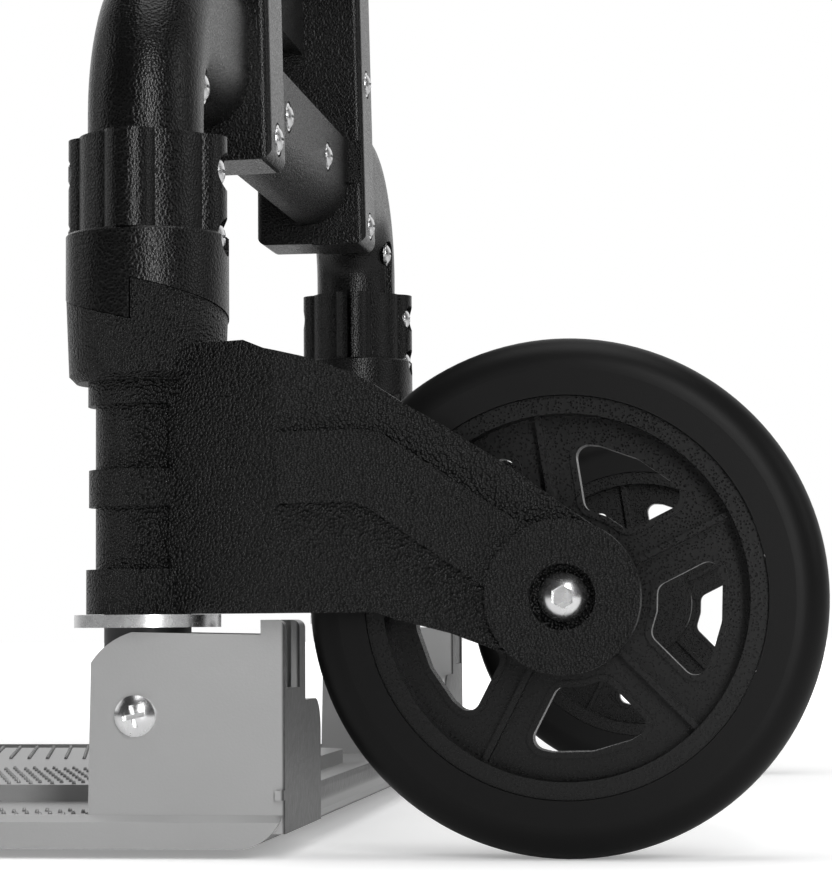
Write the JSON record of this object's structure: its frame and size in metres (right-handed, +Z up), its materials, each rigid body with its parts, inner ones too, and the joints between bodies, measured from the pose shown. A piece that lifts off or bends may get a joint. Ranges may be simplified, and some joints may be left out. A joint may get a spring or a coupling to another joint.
{
  "type": "folding hand truck",
  "caption": "Folding hand truck with a flat toe plate that folds up while both wheel brackets turn in, and a telescoping handle.",
  "frame": {"origin": "on the floor, midway between the two posts, under the toe plate's middle rib", "axes": "+Z up, +Y to the rear towards the wheels, +X towards the truck's left side"},
  "size_m": [0.401, 0.4118, 0.991],
  "materials": {
    "black_plastic": "moulded, fine orange-peel grain, semi-gloss",
    "black_rubber": "matt rubber",
    "black_paint": "satin black",
    "cast_plate": "satin, fine cast grain",
    "zinc": "bright zinc plated",
    "nylon": "natural nylon",
    "steel_tube": "bright drawn tube"
  },
  "bodies": {
    "frame": {"left_post": "black_paint", "right_post": "black_paint", "left_front_shell": "black_plastic", "right_front_shell": "black_plastic", "left_rear_shell": "black_plastic", "right_rear_shell": "black_plastic", "lower_crossbar": "black_plastic", "centre_panel": "black_plastic", "top_crossbar": "black_plastic", "shell_screws": "zinc", "crossbar_screws": "zinc", "left_clamp_collar": "black_plastic", "right_clamp_collar": "black_plastic", "left_cam_ring": "black_plastic", "right_cam_ring": "black_plastic", "collar_screws": "zinc", "collar_nuts": "zinc", "left_fold_spring": "zinc", "right_fold_spring": "zinc", "left_rail_bush": "black_plastic", "right_rail_bush": "black_plastic"},
    "toe_plate": {"toe_plate": "cast_plate", "toe_pivot_screws": "zinc", "toe_pivot_nuts": "zinc", "toe_pivot_spacers": "nylon"},
    "left_lift": {"left_lift_washer": "zinc"},
    "left_bracket": {"left_wheel_bracket": "black_plastic", "left_axle_bolt": "zinc", "left_axle_nut": "zinc", "left_thrust_washer": "nylon"},
    "left_wheel": {"left_wheel_rim": "black_plastic", "left_tyre": "black_rubber", "left_hub_bushes": "nylon", "left_hub_cap": "black_plastic"},
    "right_lift": {"right_lift_washer": "zinc"},
    "right_bracket": {"right_wheel_bracket": "black_plastic", "right_axle_bolt": "zinc", "right_axle_nut": "zinc", "right_thrust_washer": "nylon"},
    "right_wheel": {"right_wheel_rim": "black_plastic", "right_tyre": "black_rubber", "right_hub_bushes": "nylon", "right_hub_cap": "black_plastic"},
    "lower_stage": {"left_lower_tube": "steel_tube", "right_lower_tube": "steel_tube", "left_tube_collar": "black_plastic", "right_tube_collar": "black_plastic", "lower_tube_plugs": "black_plastic", "lower_snap_buttons": "zinc"},
    "upper_stage": {"left_upper_tube": "steel_tube", "right_upper_tube": "steel_tube", "upper_tube_plugs": "black_plastic", "upper_snap_buttons": "zinc", "handle_front_shell": "black_plastic", "handle_rear_shell": "black_plastic", "grip_pads": "black_rubber", "button_spring": "zinc"},
    "button": {"release_button": "black_plastic", "release_rods": "zinc"}
  },
  "joints": [
    {"name": "toe_fold", "type": "hinge", "parent": "frame", "child": "toe_plate", "pos_m": [0, 0, 0.035], "axis": [-1, 0, 0], "range_deg": [0, 90]},
    {"name": "left_washer_drop", "type": "slide", "parent": "frame", "child": "left_lift", "axis": [0, 0, -1], "range_m": [0, 0.00765], "deforming": ["left_fold_spring"]},
    {"name": "left_bracket_turn", "type": "hinge", "parent": "left_lift", "child": "left_bracket", "pos_m": [0.175, 0, 0.1], "axis": [0, 0, 1], "range_deg": [0, 90]},
    {"name": "left_wheel_spin", "type": "hinge", "parent": "left_bracket", "child": "left_wheel", "pos_m": [0.18, 0.1068, 0.0635], "axis": [1, 0, 0], "continuous": true},
    {"name": "right_washer_drop", "type": "slide", "parent": "frame", "child": "right_lift", "axis": [0, 0, -1], "range_m": [0, 0.00765], "deforming": ["right_fold_spring"]},
    {"name": "right_bracket_turn", "type": "hinge", "parent": "right_lift", "child": "right_bracket", "pos_m": [-0.175, 0, 0.1], "axis": [0, 0, -1], "range_deg": [0, 90]},
    {"name": "right_wheel_spin", "type": "hinge", "parent": "right_bracket", "child": "right_wheel", "pos_m": [-0.18, 0.1068, 0.0635], "axis": [1, 0, 0], "continuous": true},
    {"name": "lower_stage_slide", "type": "slide", "parent": "frame", "child": "lower_stage", "axis": [0, 0, 1], "range_m": [-0.178, 0]},
    {"name": "upper_stage_slide", "type": "slide", "parent": "lower_stage", "child": "upper_stage", "axis": [0, 0, 1], "range_m": [-0.178, 0]},
    {"name": "button_press", "type": "slide", "parent": "upper_stage", "child": "button", "axis": [0, 0, -1], "range_m": [0, 0.005], "stiffness_N_per_m": 250, "springref_m": -0.01, "deforming": ["button_spring"]}
  ],
  "couplings": [
    {"joint": "left_washer_drop", "follows": "toe_fold", "m_per_rad": 0.0048701},
    {"joint": "left_bracket_turn", "follows": "toe_fold", "ratio": 1},
    {"joint": "right_washer_drop", "follows": "toe_fold", "m_per_rad": 0.0048701},
    {"joint": "right_bracket_turn", "follows": "toe_fold", "ratio": 1}
  ]
}
